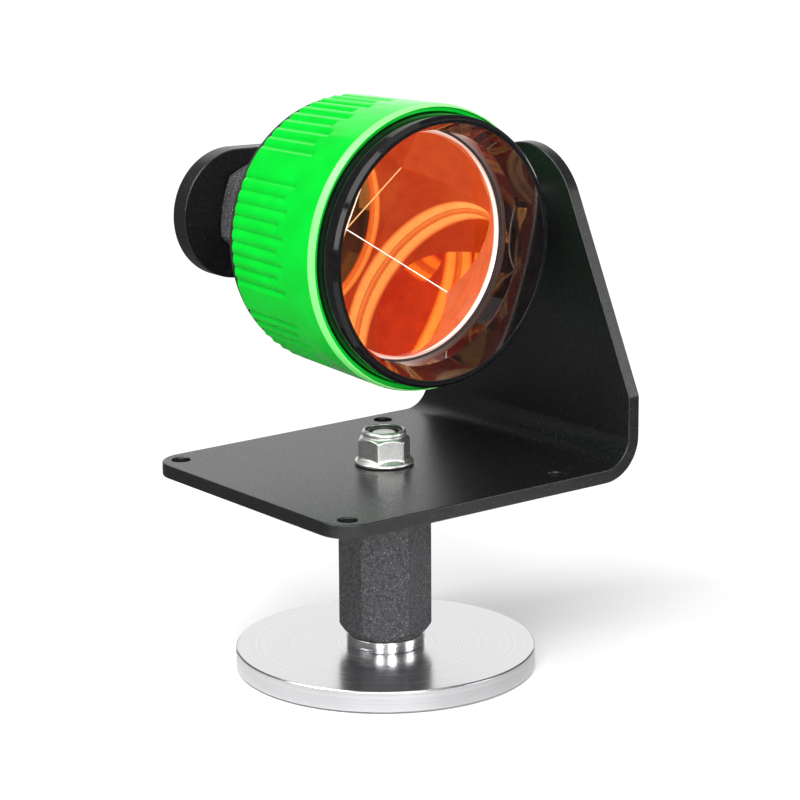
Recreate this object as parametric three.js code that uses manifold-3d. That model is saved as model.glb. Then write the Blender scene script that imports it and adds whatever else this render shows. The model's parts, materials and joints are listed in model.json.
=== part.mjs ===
// Survey prism: a corner-cube reflector in a ribbed housing, carried by an arm on an L bracket, which
// turns on a hexagonal pillar and a disc base.
//
// Frame, in millimetres: the origin is the centre of the base disc's underside, +Z is up, the
// reflector looks along -Y, and the bracket's upright stands on the +X side. Four bodies move:
// the bracket pans about Z, the arm tilts about X, and the head turns about its own axis, Y.

import * as THREE from 'three';
import { mergeVertices } from 'three/addons/utils/BufferGeometryUtils.js';
import Module from 'manifold-3d';

const wasm = await Module();
wasm.setup();

// ---- Driving dimensions ----

const BASE_RADIUS = 41.8;
const BASE_THICKNESS = 6;
const COLLAR_RADIUS = 11;
const COLLAR_HEIGHT = 3.5;
const PILLAR_FLATS = 22.5;
const PILLAR_TOP = 54.1;
const PILLAR_CHAMFER = 2.4;
const PILLAR_TURN = -8;

const SHEET = 3.8;
const PLATE_BOTTOM = 54.2;
const PLATE_LEFT = -48;
const PLATE_HALF_WIDTH = 44.5;
const PLATE_CORNER = 9;
const PLATE_BEND = 8;
const PLATE_HOLE_RADIUS = 2.6;
const PLATE_HOLES_X = [-41.6, 29.2];
const PLATE_HOLES_Y = 38.5;
const UPRIGHT_INNER_X = 50.4;
const UPRIGHT_SHOULDER_Z = 77.2;
const UPRIGHT_TOP_RADIUS = 21;

const AXIS_Z = 121.2;
const HEAD_TURN = 7;
const APERTURE_RADIUS = 31.4;
const GLASS_FRONT = -12.5;
const GLASS_BEVEL = 1.1;
const CUBE_APEX = 38.3;
const HOUSING_FRONT = -20.6;
const HOUSING_REAR = 18.4;
const HOUSING_FRONT_RADIUS = 38.8;
const HOUSING_REAR_RADIUS = 37.2;
const HOUSING_BORE = 35;
// The rolled front lip, as [distance in from the front radius, distance back from the front face].
const HOUSING_LIP = [[1.2, 0], [0.3, 1], [0, 2.2]];
const HOOD_FRONT = -27.1;
const HOOD_RADIUS = 36.5;
const HOOD_MOUTH = 34.4;
const BOSS_FLATS = 30;
const BOSS_END = 54.9;
const BOSS_TURN = 4.5;

const FLUTE_GROUPS = 6;
const FLUTES_IN_GROUP = 9;
const FLUTE_PITCH = 5.55;
const FLUTE_WIDTH = 1.2;
const FLUTE_DEPTH = 0.8;
const FLUTE_LENGTHS = [24.6, 22];

const ARM_SHEET = 5.8;
const ARM_FRONT = 55;
const ARM_END_X = -9;
const ARM_END_RADIUS = 18.5;
const ARM_BEND = 6;
const ARM_NECK = 16.7;
const ARM_LEG_X = 43.5;
const ARM_PIVOT_RADIUS = 9.5;

const M8_RADIUS = 4;
const M8_CLEARANCE = 4.2;
const M8_FLATS = 13;
const STUD_BOTTOM = 2;
const STUD_TOP = 67;

// Slack between two faces that slide on each other, and between a piece and the bore it sits in.
const RUNNING_GAP = 0.1;
const SEAT_GAP = 0.2;

// Broken edges of turned parts, chamfers of nuts and bolt heads, and how far a cutter runs past a face.
const BROKEN_EDGE = 0.6;
const HEX_CHAMFER = 0.8;
const OVERCUT = 1;

// Sides of the polygons that stand for large, middling and small circles.
const FINE = 72;
const MEDIUM = 48;
const SMALL = 24;

const PLATE_TOP = PLATE_BOTTOM + SHEET;
const UPRIGHT_OUTER_X = UPRIGHT_INNER_X + SHEET;
const ARM_BACK = ARM_FRONT + ARM_SHEET;
const ARM_LEG_OUTER_X = ARM_LEG_X + ARM_SHEET;

const radians = THREE.MathUtils.degToRad;

// ---- Solids: closed three.js geometry, joined and cut with manifold-3d ----

// A closed geometry as a solid whose faces point outward.
function solid(geometry) {
  const bare = geometry.clone();
  bare.deleteAttribute('normal');
  bare.deleteAttribute('uv');
  const merged = mergeVertices(bare, 1e-4);
  const position = merged.attributes.position;
  const corners = [];
  let volume = 0;
  for (let i = 0; i < merged.index.count; i += 3) {
    const [a, b, c] = [0, 1, 2].map((k) => merged.index.getX(i + k));
    if (a === b || b === c || c === a) continue;
    const [p, q, r] = [a, b, c].map((k) => new THREE.Vector3().fromBufferAttribute(position, k));
    volume += p.dot(q.cross(r));
    corners.push([a, b, c]);
  }
  const outward = volume > 0 ? corners : corners.map(([a, b, c]) => [a, c, b]);
  return new wasm.Manifold(new wasm.Mesh({
    numProp: 3,
    vertProperties: Float32Array.from(position.array),
    triVerts: Uint32Array.from(outward.flat()),
  }));
}

function geometryOf(body) {
  const mesh = body.getMesh();
  const geometry = new THREE.BufferGeometry();
  geometry.setAttribute('position', new THREE.BufferAttribute(Float32Array.from(mesh.vertProperties), 3));
  geometry.setIndex(new THREE.BufferAttribute(Uint32Array.from(mesh.triVerts), 1));
  geometry.computeVertexNormals();
  return geometry;
}

// The turned solid of a profile of [radius, distance along the axis] points; its axis is Y.
function turned(profile, segments = MEDIUM) {
  const points = profile.map(([radius, along]) => new THREE.Vector2(radius, along));
  return new THREE.LatheGeometry(points, segments);
}

function ring(inner, outer, from, to, segments = MEDIUM) {
  return turned([[inner, from], [outer, from], [outer, to], [inner, to], [inner, from]], segments);
}

function rod(radius, from, to, segments = SMALL) {
  return turned([[0, from], [radius, from], [radius, to], [0, to]], segments);
}

// A hexagonal bar along Y, measured across its flats, with two of them facing +X and -X.
function hexagon(flats, from, to) {
  const corner = flats / Math.sqrt(3);
  return new THREE.CylinderGeometry(corner, corner, to - from, 6).translate(0, (from + to) / 2, 0);
}

// Swings an axis that lies along Y round to Z, or to X.
const alongZ = (geometry) => geometry.rotateX(Math.PI / 2);
const alongX = (geometry) => geometry.rotateZ(-Math.PI / 2);

// An outline drawn as (first, second) pairs, extruded along the third direction.
const FLAT = new THREE.Matrix4();
const FACING_X = new THREE.Matrix4().makeBasis(
  new THREE.Vector3(0, 1, 0), new THREE.Vector3(0, 0, 1), new THREE.Vector3(1, 0, 0));
const FACING_Y = new THREE.Matrix4().makeBasis(
  new THREE.Vector3(1, 0, 0), new THREE.Vector3(0, 0, 1), new THREE.Vector3(0, -1, 0));

function slab(shape, from, to, plane = FLAT, curveSegments = 24) {
  const depth = to - from;
  const geometry = new THREE.ExtrudeGeometry(shape, { depth, curveSegments, bevelEnabled: false });
  return geometry.translate(0, 0, from).applyMatrix4(plane);
}

// The point where a line from outside a circle touches it, on the right as seen from outside.
function tangentPoint(outside, centre, radius) {
  const toCentre = centre.clone().sub(outside);
  const reach = Math.sqrt(toCentre.lengthSq() - radius * radius);
  const swing = -Math.asin(radius / toCentre.length());
  return toCentre.normalize().rotateAround(new THREE.Vector2(), swing).multiplyScalar(reach).add(outside);
}

// ---- Materials ----

const paint = (color, roughness, metalness = 0) =>
  new THREE.MeshStandardMaterial({ color, roughness, metalness });

const silver = () => paint(0xc9cacc, 0.25, 1);
const stainless = () => paint(0xb5b6b4, 0.3, 1);
const brass = () => paint(0xb8934a, 0.35, 1);
const blackSteel = () => paint(0x161718, 0.6, 0.2);
const speckledBlack = () => paint(0x2a2b2c, 0.8);
const greenPlastic = () => paint(0x00d628, 0.4);
const blackPlastic = () => paint(0x0c0c0d, 0.15);
const mattBlack = () => paint(0x1b1b1c, 0.7);
const copperGlass = () => paint(0xe0571c, 0.05, 0.4);
const rubber = () => paint(0x111111, 0.9);
const nylon = () => paint(0x9fb3a2, 0.5);

// ---- Base: disc, collar, pillar, stud and lock nut ----

function baseDisc() {
  const disc = turned([
    [0, 0],
    [BASE_RADIUS - BROKEN_EDGE, 0],
    [BASE_RADIUS, BROKEN_EDGE],
    [BASE_RADIUS, BASE_THICKNESS - BROKEN_EDGE],
    [BASE_RADIUS - BROKEN_EDGE, BASE_THICKNESS],
    [0, BASE_THICKNESS],
  ], FINE);
  const blindHole = rod(M8_CLEARANCE, STUD_BOTTOM, BASE_THICKNESS + OVERCUT);
  return geometryOf(solid(alongZ(disc)).subtract(solid(alongZ(blindHole))));
}

function pillar() {
  const bottom = BASE_THICKNESS + COLLAR_HEIGHT;
  const end = PILLAR_FLATS / Math.sqrt(3) - PILLAR_CHAMFER;
  const bar = alongZ(hexagon(PILLAR_FLATS, bottom, PILLAR_TOP)).rotateZ(radians(PILLAR_TURN));
  const chamfered = alongZ(turned([
    [0, bottom],
    [end, bottom],
    [end + PILLAR_CHAMFER, bottom + PILLAR_CHAMFER],
    [end + PILLAR_CHAMFER, PILLAR_TOP - PILLAR_CHAMFER],
    [end, PILLAR_TOP],
    [0, PILLAR_TOP],
  ], MEDIUM));
  const bore = alongZ(rod(M8_CLEARANCE, bottom - OVERCUT, PILLAR_TOP + OVERCUT));
  return geometryOf(solid(bar).intersect(solid(chamfered)).subtract(solid(bore)));
}

const NUT = { flangeRadius: 8.2, flange: 1.3, skirt: 2.8, hexTop: 7.8, height: 9.8, lip: 5.6 };
const INSERT = { radius: 5.4, from: 7.2, to: 9.2 };

// An M8 flanged lock nut that starts at y = 0, with a pocket for its nylon ring.
function lockNut() {
  const across = M8_FLATS / Math.sqrt(3);
  const body = turned([
    [0, 0],
    [NUT.flangeRadius, 0],
    [NUT.flangeRadius, NUT.flange],
    [across, NUT.skirt],
    [across, NUT.hexTop - HEX_CHAMFER],
    [M8_FLATS / 2, NUT.hexTop],
    [M8_FLATS / 2, NUT.height - HEX_CHAMFER],
    [NUT.lip, NUT.height],
    [0, NUT.height],
  ]);
  const hex = hexagon(M8_FLATS, NUT.flange, NUT.height);
  const flange = rod(NUT.flangeRadius, 0, NUT.skirt - HEX_CHAMFER, MEDIUM);
  const bore = rod(M8_RADIUS + RUNNING_GAP, -OVERCUT, NUT.height + OVERCUT);
  const pocket = rod(INSERT.radius + RUNNING_GAP, INSERT.from, NUT.height + OVERCUT);
  const outside = solid(body).intersect(solid(hex).add(solid(flange)));
  return geometryOf(outside.subtract(solid(bore)).subtract(solid(pocket)));
}

const nutInsert = () => ring(M8_RADIUS + RUNNING_GAP, INSERT.radius, INSERT.from, INSERT.to, SMALL);

// ---- L bracket ----

// The section of a sheet bent once at a right angle: one leg runs from `start` along the first
// direction at height `low`, and the other climbs from the bend to `top` with its inner face at `wall`.
function bentSheet(start, low, wall, top, bend, thickness) {
  const outer = bend + thickness;
  const shape = new THREE.Shape();
  shape.moveTo(start, low + thickness);
  shape.lineTo(start, low);
  shape.absarc(wall - bend, low + outer, outer, -Math.PI / 2, 0, false);
  shape.lineTo(wall + thickness, top);
  shape.lineTo(wall, top);
  shape.absarc(wall - bend, low + outer, bend, 0, -Math.PI / 2, true);
  return shape;
}

// Plan outline of the plate, with its two free corners rounded; it runs on past the bend.
function plateOutline() {
  const inset = PLATE_HALF_WIDTH - PLATE_CORNER;
  const shape = new THREE.Shape();
  shape.moveTo(UPRIGHT_OUTER_X + OVERCUT, -PLATE_HALF_WIDTH);
  shape.lineTo(UPRIGHT_OUTER_X + OVERCUT, PLATE_HALF_WIDTH);
  shape.absarc(PLATE_LEFT + PLATE_CORNER, inset, PLATE_CORNER, Math.PI / 2, Math.PI, false);
  shape.absarc(PLATE_LEFT + PLATE_CORNER, -inset, PLATE_CORNER, Math.PI, Math.PI * 1.5, false);
  return shape;
}

// Side outline of the upright: straight to its shoulders, then tapering to a round top.
function uprightOutline() {
  const top = new THREE.Vector2(0, AXIS_Z);
  const shoulder = new THREE.Vector2(PLATE_HALF_WIDTH, UPRIGHT_SHOULDER_Z);
  const touch = tangentPoint(shoulder, top, UPRIGHT_TOP_RADIUS).sub(top);
  const start = Math.atan2(touch.y, touch.x);
  const shape = new THREE.Shape();
  shape.moveTo(-PLATE_HALF_WIDTH, PLATE_BOTTOM - OVERCUT);
  shape.lineTo(PLATE_HALF_WIDTH, PLATE_BOTTOM - OVERCUT);
  shape.lineTo(shoulder.x, shoulder.y);
  shape.absarc(top.x, top.y, UPRIGHT_TOP_RADIUS, start, Math.PI - start, false);
  shape.lineTo(-shoulder.x, shoulder.y);
  return shape;
}

function bracket() {
  const top = AXIS_Z + UPRIGHT_TOP_RADIUS + OVERCUT;
  const section = bentSheet(PLATE_LEFT, PLATE_BOTTOM, UPRIGHT_INNER_X, top, PLATE_BEND, SHEET);
  const sheet = solid(slab(section, -PLATE_HALF_WIDTH, PLATE_HALF_WIDTH, FACING_Y, 10));
  const plan = solid(slab(plateOutline(), 0, top, FLAT, 10));
  const side = solid(slab(uprightOutline(), PLATE_LEFT - OVERCUT, UPRIGHT_OUTER_X + OVERCUT, FACING_X, 28));
  let body = sheet.intersect(plan).intersect(side);
  const plateCut = [PLATE_BOTTOM - OVERCUT, PLATE_TOP + OVERCUT];
  body = body.subtract(solid(alongZ(rod(M8_CLEARANCE, ...plateCut))));
  const pivot = alongX(rod(M8_CLEARANCE, UPRIGHT_INNER_X - OVERCUT, UPRIGHT_OUTER_X + OVERCUT));
  body = body.subtract(solid(pivot.translate(0, 0, AXIS_Z)));
  for (const x of PLATE_HOLES_X) {
    for (const y of [-PLATE_HOLES_Y, PLATE_HOLES_Y]) {
      const hole = alongZ(rod(PLATE_HOLE_RADIUS, ...plateCut));
      body = body.subtract(solid(hole.translate(x, y, 0)));
    }
  }
  return geometryOf(body);
}

// ---- Tilt pivot: button-head bolt, nylon washer and lock nut, along X ----

const TILT_WASHER = { radius: 9, thickness: 1 };
const BUTTON = { radius: 7, crown: 4, height: 4.4, socket: 5, depth: 2.6 };

function tiltBolt() {
  const seat = ARM_LEG_X - RUNNING_GAP;
  const end = UPRIGHT_OUTER_X + NUT.height - HEX_CHAMFER;
  const bolt = turned([
    [0, seat - BUTTON.height],
    [BUTTON.crown, seat - BUTTON.height],
    [BUTTON.radius - HEX_CHAMFER, seat - BUTTON.height / 2],
    [BUTTON.radius, seat - HEX_CHAMFER],
    [BUTTON.radius, seat],
    [M8_RADIUS, seat],
    [M8_RADIUS, end - BROKEN_EDGE],
    [M8_RADIUS - BROKEN_EDGE, end],
    [0, end],
  ], SMALL);
  const face = seat - BUTTON.height;
  const socket = hexagon(BUTTON.socket, face - OVERCUT, face + BUTTON.depth);
  return geometryOf(solid(alongX(bolt)).subtract(solid(alongX(socket))));
}

// ---- Arm: a second bent sheet, behind the head and up its side to the tilt pivot ----

// Outline seen from behind: a round end under the head, narrowing slightly towards the bend.
function armRearOutline() {
  const right = ARM_LEG_OUTER_X + OVERCUT;
  const shape = new THREE.Shape();
  shape.moveTo(right, -ARM_NECK);
  shape.lineTo(right, ARM_NECK);
  shape.absarc(ARM_END_X, 0, ARM_END_RADIUS, Math.PI / 2, Math.PI * 1.5, false);
  return shape;
}

// Outline seen from the side: full height behind, tapering forward to a round end at the pivot.
function armSideOutline() {
  const pivot = new THREE.Vector2(0, 0);
  const neck = new THREE.Vector2(ARM_FRONT - ARM_BEND, ARM_NECK);
  const touch = tangentPoint(neck, pivot, ARM_PIVOT_RADIUS);
  const start = Math.atan2(touch.y, touch.x);
  const clear = ARM_END_RADIUS + OVERCUT;
  const shape = new THREE.Shape();
  shape.moveTo(ARM_BACK + OVERCUT, -clear);
  shape.lineTo(ARM_BACK + OVERCUT, clear);
  shape.lineTo(neck.x, clear);
  shape.lineTo(neck.x, neck.y);
  shape.absarc(pivot.x, pivot.y, ARM_PIVOT_RADIUS, start, Math.PI * 2 - start, false);
  shape.lineTo(neck.x, -neck.y);
  shape.lineTo(neck.x, -clear);
  return shape;
}

function arm() {
  const left = ARM_END_X - ARM_END_RADIUS - OVERCUT;
  const clear = ARM_END_RADIUS + OVERCUT;
  const front = ARM_PIVOT_RADIUS + OVERCUT;
  const section = bentSheet(left, -ARM_BACK, ARM_LEG_X, front, ARM_BEND, ARM_SHEET);
  const sheet = solid(slab(section, -clear, clear, FLAT, 10).scale(1, -1, 1));
  const rear = solid(slab(armRearOutline(), -ARM_BACK - OVERCUT, front, FACING_Y, 28));
  const side = solid(slab(armSideOutline(), left, ARM_LEG_OUTER_X + OVERCUT, FACING_X, 24));
  const rearHole = rod(M8_CLEARANCE, ARM_FRONT - OVERCUT, ARM_BACK + OVERCUT);
  const pivotHole = alongX(rod(M8_CLEARANCE, ARM_LEG_X - OVERCUT, ARM_LEG_OUTER_X + OVERCUT));
  const body = sheet.intersect(rear).intersect(side);
  return geometryOf(body.subtract(solid(rearHole)).subtract(solid(pivotHole)));
}

const ARM_WASHER = { radius: 8, thickness: 1.6 };
const ARM_BOLT = { head: 5.3, tip: 43.5 };

function armBolt() {
  const seat = ARM_BACK + ARM_WASHER.thickness;
  const crown = seat + ARM_BOLT.head;
  const bolt = turned([
    [0, ARM_BOLT.tip],
    [M8_RADIUS - BROKEN_EDGE, ARM_BOLT.tip],
    [M8_RADIUS, ARM_BOLT.tip + BROKEN_EDGE],
    [M8_RADIUS, seat],
    [M8_FLATS / Math.sqrt(3), seat],
    [M8_FLATS / Math.sqrt(3), crown - HEX_CHAMFER],
    [M8_FLATS / 2, crown],
    [0, crown],
  ]);
  const shank = rod(M8_RADIUS + OVERCUT, ARM_BOLT.tip, seat);
  const hex = hexagon(M8_FLATS, seat, crown);
  return geometryOf(solid(bolt).intersect(solid(hex).add(solid(shank))));
}

// ---- Head: every piece is turned about Y, which is the reflector's axis ----

const HOOD_SHOULDER = -15.6;
const HOOD_FLARE = -19.5;
const HOOD_BORE = 31.7;
const SPIGOT_RADIUS = HOUSING_BORE - SEAT_GAP;
const CUP_FRONT = -11;
const GASKET_RADIUS = 32.5;
const GASKET_THICKNESS = 1.4;
const CUP_SHOULDER = 12.8;
const CUP_NECK = 33;
const COVER_FRONT = 15;
const COVER_FLANGE = HOUSING_REAR + 0.5;
const COVER_RADIUS = HOUSING_REAR_RADIUS - 0.8;
const SEAL_THICKNESS = 0.6;

function hood() {
  const recess = GASKET_RADIUS + RUNNING_GAP;
  const recessFront = CUP_FRONT - GASKET_THICKNESS - RUNNING_GAP;
  return turned([
    [HOOD_RADIUS, HOOD_FRONT],
    [HOOD_RADIUS, HOOD_SHOULDER],
    [SPIGOT_RADIUS, HOOD_SHOULDER],
    [SPIGOT_RADIUS, CUP_FRONT],
    [recess, CUP_FRONT],
    [recess, recessFront],
    [HOOD_BORE, recessFront],
    [HOOD_BORE, HOOD_FLARE],
    [HOOD_MOUTH, HOOD_FRONT],
    [HOOD_RADIUS, HOOD_FRONT],
  ], FINE);
}

// The tapered shell, with a rolled lip in front and groups of alternately long and short flutes
// that run out through its rear edge.
function housing() {
  const seat = HOOD_SHOULDER + SEAL_THICKNESS;
  const lipEnd = HOUSING_FRONT + HOUSING_LIP.at(-1)[1];
  const shell = solid(turned([
    [HOOD_RADIUS + SEAT_GAP, HOUSING_FRONT],
    ...HOUSING_LIP.map(([inset, back]) => [HOUSING_FRONT_RADIUS - inset, HOUSING_FRONT + back]),
    [HOUSING_REAR_RADIUS, HOUSING_REAR - BROKEN_EDGE],
    [HOUSING_REAR_RADIUS - BROKEN_EDGE, HOUSING_REAR],
    [HOUSING_BORE, HOUSING_REAR],
    [HOUSING_BORE, seat],
    [HOOD_RADIUS + SEAT_GAP, seat],
    [HOOD_RADIUS + SEAT_GAP, HOUSING_FRONT],
  ], FINE));
  const taper = (HOUSING_FRONT_RADIUS - HOUSING_REAR_RADIUS) / (HOUSING_REAR - lipEnd);
  const groupAngle = 360 / FLUTE_GROUPS;
  const flutes = [];
  for (let group = 0; group < FLUTE_GROUPS; group += 1) {
    for (let flute = 0; flute < FLUTES_IN_GROUP; flute += 1) {
      const length = FLUTE_LENGTHS[flute % FLUTE_LENGTHS.length];
      const angle = group * groupAngle + (flute - (FLUTES_IN_GROUP - 1) / 2) * FLUTE_PITCH;
      const rearFloor = HOUSING_REAR_RADIUS - FLUTE_DEPTH - taper;
      const shape = new THREE.Shape();
      shape.moveTo(rearFloor, HOUSING_REAR + OVERCUT);
      shape.lineTo(rearFloor + taper * (length + OVERCUT), HOUSING_REAR - length);
      shape.lineTo(HOUSING_FRONT_RADIUS + OVERCUT, HOUSING_REAR - length);
      shape.lineTo(HOUSING_FRONT_RADIUS + OVERCUT, HOUSING_REAR + OVERCUT);
      flutes.push(solid(slab(shape, -FLUTE_WIDTH / 2, FLUTE_WIDTH / 2).rotateY(radians(angle))));
    }
  }
  return geometryOf(flutes.reduce((body, flute) => body.subtract(flute), shell));
}

// A glass cylinder whose back is three faces at right angles that meet at the apex on the axis.
function cornerCube() {
  const barrel = turned([
    [0, GLASS_FRONT],
    [APERTURE_RADIUS - GLASS_BEVEL, GLASS_FRONT],
    [APERTURE_RADIUS, GLASS_FRONT + GLASS_BEVEL],
    [APERTURE_RADIUS, CUBE_APEX],
    [0, CUBE_APEX],
  ], FINE);
  const side = 3 * APERTURE_RADIUS;
  const edges = [90, 210, 330].map((degrees) => {
    const across = Math.sqrt(2 / 3);
    const angle = radians(degrees);
    return new THREE.Vector3(across * Math.cos(angle), -Math.sqrt(1 / 3), across * Math.sin(angle));
  });
  const corner = new THREE.BoxGeometry(side, side, side).translate(side / 2, side / 2, side / 2);
  corner.applyMatrix4(new THREE.Matrix4().makeBasis(...edges)).translate(0, CUBE_APEX, 0);
  return geometryOf(solid(barrel).intersect(solid(corner)));
}

// Where the cone through the cube's three edges, moved out by a wall measured square to it, has a radius.
const cubeConeEnd = (radius, wall) => CUBE_APEX + (wall * Math.sqrt(3) - radius) / Math.SQRT2;

function prismCup() {
  const clear = 0.5;
  const wall = 2.1;
  const bore = APERTURE_RADIUS + 0.3;
  const tip = 2;
  return turned([
    [0, cubeConeEnd(0, clear)],
    [bore, cubeConeEnd(bore, clear)],
    [bore, CUP_FRONT],
    [SPIGOT_RADIUS, CUP_FRONT],
    [SPIGOT_RADIUS, CUP_SHOULDER],
    [CUP_NECK, CUP_SHOULDER],
    [CUP_NECK, cubeConeEnd(CUP_NECK, wall)],
    [tip, cubeConeEnd(tip, wall)],
    [0, cubeConeEnd(tip, wall)],
  ]);
}

const INSERT_POCKET = { radius: 8, bottom: 43 };

// The rear cover: a spigot in the housing, a cone with a recess for the cup's tip, and a hexagonal
// boss bored for its insert.
function rearCover() {
  const inside = SPIGOT_RADIUS - 1.5;
  const recess = { radius: 7.4, bottom: 40.5 };
  const flange = COVER_FLANGE + 1.3;
  const coneEnd = 38.6;
  const coneRadius = 18.6;
  const roof = 36;
  const shell = turned([
    [0, roof],
    [coneRadius - 1.1, roof],
    [inside, flange - 0.7],
    [inside, COVER_FRONT],
    [SPIGOT_RADIUS, COVER_FRONT],
    [SPIGOT_RADIUS, COVER_FLANGE],
    [COVER_RADIUS, COVER_FLANGE],
    [COVER_RADIUS, flange],
    [coneRadius, coneEnd],
    [0, coneEnd],
  ], FINE);
  const boss = hexagon(BOSS_FLATS, coneEnd - OVERCUT, BOSS_END).rotateY(radians(BOSS_TURN));
  const pocket = rod(INSERT_POCKET.radius, INSERT_POCKET.bottom, BOSS_END + OVERCUT, MEDIUM);
  const tipRoom = rod(recess.radius, roof - OVERCUT, recess.bottom, MEDIUM);
  return geometryOf(solid(shell).add(solid(boss)).subtract(solid(pocket)).subtract(solid(tipRoom)));
}

// ---- Assembly ----

function piece(name, geometry, material) {
  const mesh = new THREE.Mesh(geometry, material);
  mesh.name = name;
  return mesh;
}

function baseGroup() {
  const group = new THREE.Group();
  const collarTop = BASE_THICKNESS + COLLAR_HEIGHT;
  const nutSeat = PLATE_TOP + RUNNING_GAP;
  const nut = piece('lock_nut', alongZ(lockNut()), stainless());
  const insert = piece('lock_nut_insert', alongZ(nutInsert()), nylon());
  for (const part of [nut, insert]) {
    part.position.z = nutSeat;
    part.rotation.z = radians(9);
  }
  group.add(
    piece('base_disc', baseDisc(), silver()),
    piece('base_collar', alongZ(ring(M8_CLEARANCE, COLLAR_RADIUS, BASE_THICKNESS, collarTop)), silver()),
    piece('hex_pillar', pillar(), speckledBlack()),
    piece('centre_stud', alongZ(rod(M8_RADIUS, STUD_BOTTOM, STUD_TOP)), stainless()),
    nut,
    insert,
  );
  return group;
}

function bracketGroup() {
  const group = new THREE.Group();
  const washerFrom = UPRIGHT_INNER_X - TILT_WASHER.thickness;
  const pivot = new THREE.Group();
  pivot.position.z = AXIS_Z;
  const washer = ring(M8_CLEARANCE, TILT_WASHER.radius, washerFrom, UPRIGHT_INNER_X, SMALL);
  const nut = piece('tilt_nut', alongX(lockNut()), stainless());
  const insert = piece('tilt_nut_insert', alongX(nutInsert()), nylon());
  for (const part of [nut, insert]) part.position.x = UPRIGHT_OUTER_X;
  pivot.add(
    piece('tilt_bolt', tiltBolt(), stainless()),
    piece('tilt_washer', alongX(washer), nylon()),
    nut,
    insert,
  );
  group.add(piece('bracket', bracket(), blackSteel()), pivot);
  return group;
}

function armGroup() {
  const group = new THREE.Group();
  group.position.z = AXIS_Z;
  const washer = ring(M8_CLEARANCE, ARM_WASHER.radius, ARM_BACK, ARM_BACK + ARM_WASHER.thickness, SMALL);
  group.add(
    piece('arm', arm(), blackSteel()),
    piece('arm_washer', washer, stainless()),
    piece('arm_bolt', armBolt(), stainless()),
  );
  return group;
}

function headGroup() {
  const group = new THREE.Group();
  group.position.z = AXIS_Z;
  group.rotation.y = radians(HEAD_TURN);
  const hoodSeal = ring(
    SPIGOT_RADIUS + SEAT_GAP + RUNNING_GAP, HOOD_RADIUS, HOOD_SHOULDER, HOOD_SHOULDER + SEAL_THICKNESS);
  const gasket = ring(APERTURE_RADIUS + RUNNING_GAP, GASKET_RADIUS, CUP_FRONT - GASKET_THICKNESS, CUP_FRONT);
  const cushion = ring(CUP_NECK + RUNNING_GAP, SPIGOT_RADIUS, CUP_SHOULDER, COVER_FRONT);
  const rearSeal = ring(HOUSING_BORE + SEAT_GAP, COVER_RADIUS, HOUSING_REAR, COVER_FLANGE);
  const insertRadius = INSERT_POCKET.radius - RUNNING_GAP;
  const insert = ring(M8_CLEARANCE, insertRadius, INSERT_POCKET.bottom, BOSS_END);
  group.add(
    piece('housing', housing(), greenPlastic()),
    piece('hood', hood(), blackPlastic()),
    piece('hood_seal', hoodSeal, rubber()),
    piece('corner_cube', cornerCube(), copperGlass()),
    piece('glass_gasket', gasket, rubber()),
    piece('prism_cup', prismCup(), mattBlack()),
    piece('cushion_ring', cushion, rubber()),
    piece('rear_seal', rearSeal, rubber()),
    piece('rear_cover', rearCover(), mattBlack()),
    piece('boss_insert', insert, brass()),
  );
  return group;
}

const surveyPrism = new THREE.Group();
surveyPrism.add(baseGroup(), bracketGroup(), armGroup(), headGroup());

export default surveyPrism;
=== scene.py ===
"""Survey prism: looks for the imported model, made piece by piece over its CAD nodes.

Metres, in the frame of the CAD: the origin is under the base disc, +Z is up, and the reflector looks
along -Y. Sizes written with MM are in millimetres. Where a piece sits is read from its CAD node, and
the script adds what the CAD leaves out: rounded edges, flutes, grooves, bevels and surface finish.
"""

import json
from collections import namedtuple
from math import acos, asin, atan2, cos, degrees, pi, radians, sin, sqrt, tan

import bmesh
import bpy
from mathutils import Matrix, Vector
from mathutils.geometry import delaunay_2d_cdt

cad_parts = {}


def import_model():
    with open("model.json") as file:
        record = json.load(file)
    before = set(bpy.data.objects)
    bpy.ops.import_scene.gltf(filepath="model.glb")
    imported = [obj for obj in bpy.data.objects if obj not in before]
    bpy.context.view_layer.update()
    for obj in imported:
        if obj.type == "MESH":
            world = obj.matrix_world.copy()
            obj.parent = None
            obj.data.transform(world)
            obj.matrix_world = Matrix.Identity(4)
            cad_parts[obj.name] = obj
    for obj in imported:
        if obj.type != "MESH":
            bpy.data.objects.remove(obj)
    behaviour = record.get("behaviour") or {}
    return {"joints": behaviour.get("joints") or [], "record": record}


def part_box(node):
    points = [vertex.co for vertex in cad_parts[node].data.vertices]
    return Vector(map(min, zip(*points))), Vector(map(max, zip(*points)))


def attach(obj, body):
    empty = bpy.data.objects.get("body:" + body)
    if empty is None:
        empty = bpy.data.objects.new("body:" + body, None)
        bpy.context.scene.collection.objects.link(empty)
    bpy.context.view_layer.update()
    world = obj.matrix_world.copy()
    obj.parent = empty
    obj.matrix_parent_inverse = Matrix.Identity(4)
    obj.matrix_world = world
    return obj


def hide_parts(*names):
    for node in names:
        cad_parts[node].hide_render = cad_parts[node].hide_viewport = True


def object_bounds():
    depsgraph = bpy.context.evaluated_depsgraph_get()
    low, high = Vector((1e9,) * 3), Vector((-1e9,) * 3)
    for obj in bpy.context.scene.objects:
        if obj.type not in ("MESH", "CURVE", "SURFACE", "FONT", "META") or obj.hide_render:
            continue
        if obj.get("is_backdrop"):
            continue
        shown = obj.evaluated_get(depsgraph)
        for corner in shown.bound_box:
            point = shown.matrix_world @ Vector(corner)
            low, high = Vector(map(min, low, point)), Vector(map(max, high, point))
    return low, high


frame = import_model()
cad_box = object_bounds()

MM = 0.001
HEAD_TURN = radians(-7)
ARC_STEPS = 4
ROUND = 192
BAND_DEPTH = 5.8
M8_BORE, M8_HOLE, M8_SHANK, M8_FLATS = 4.1, 4.2, 4, 13
HEAD_SPIGOT = 34.8


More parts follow.
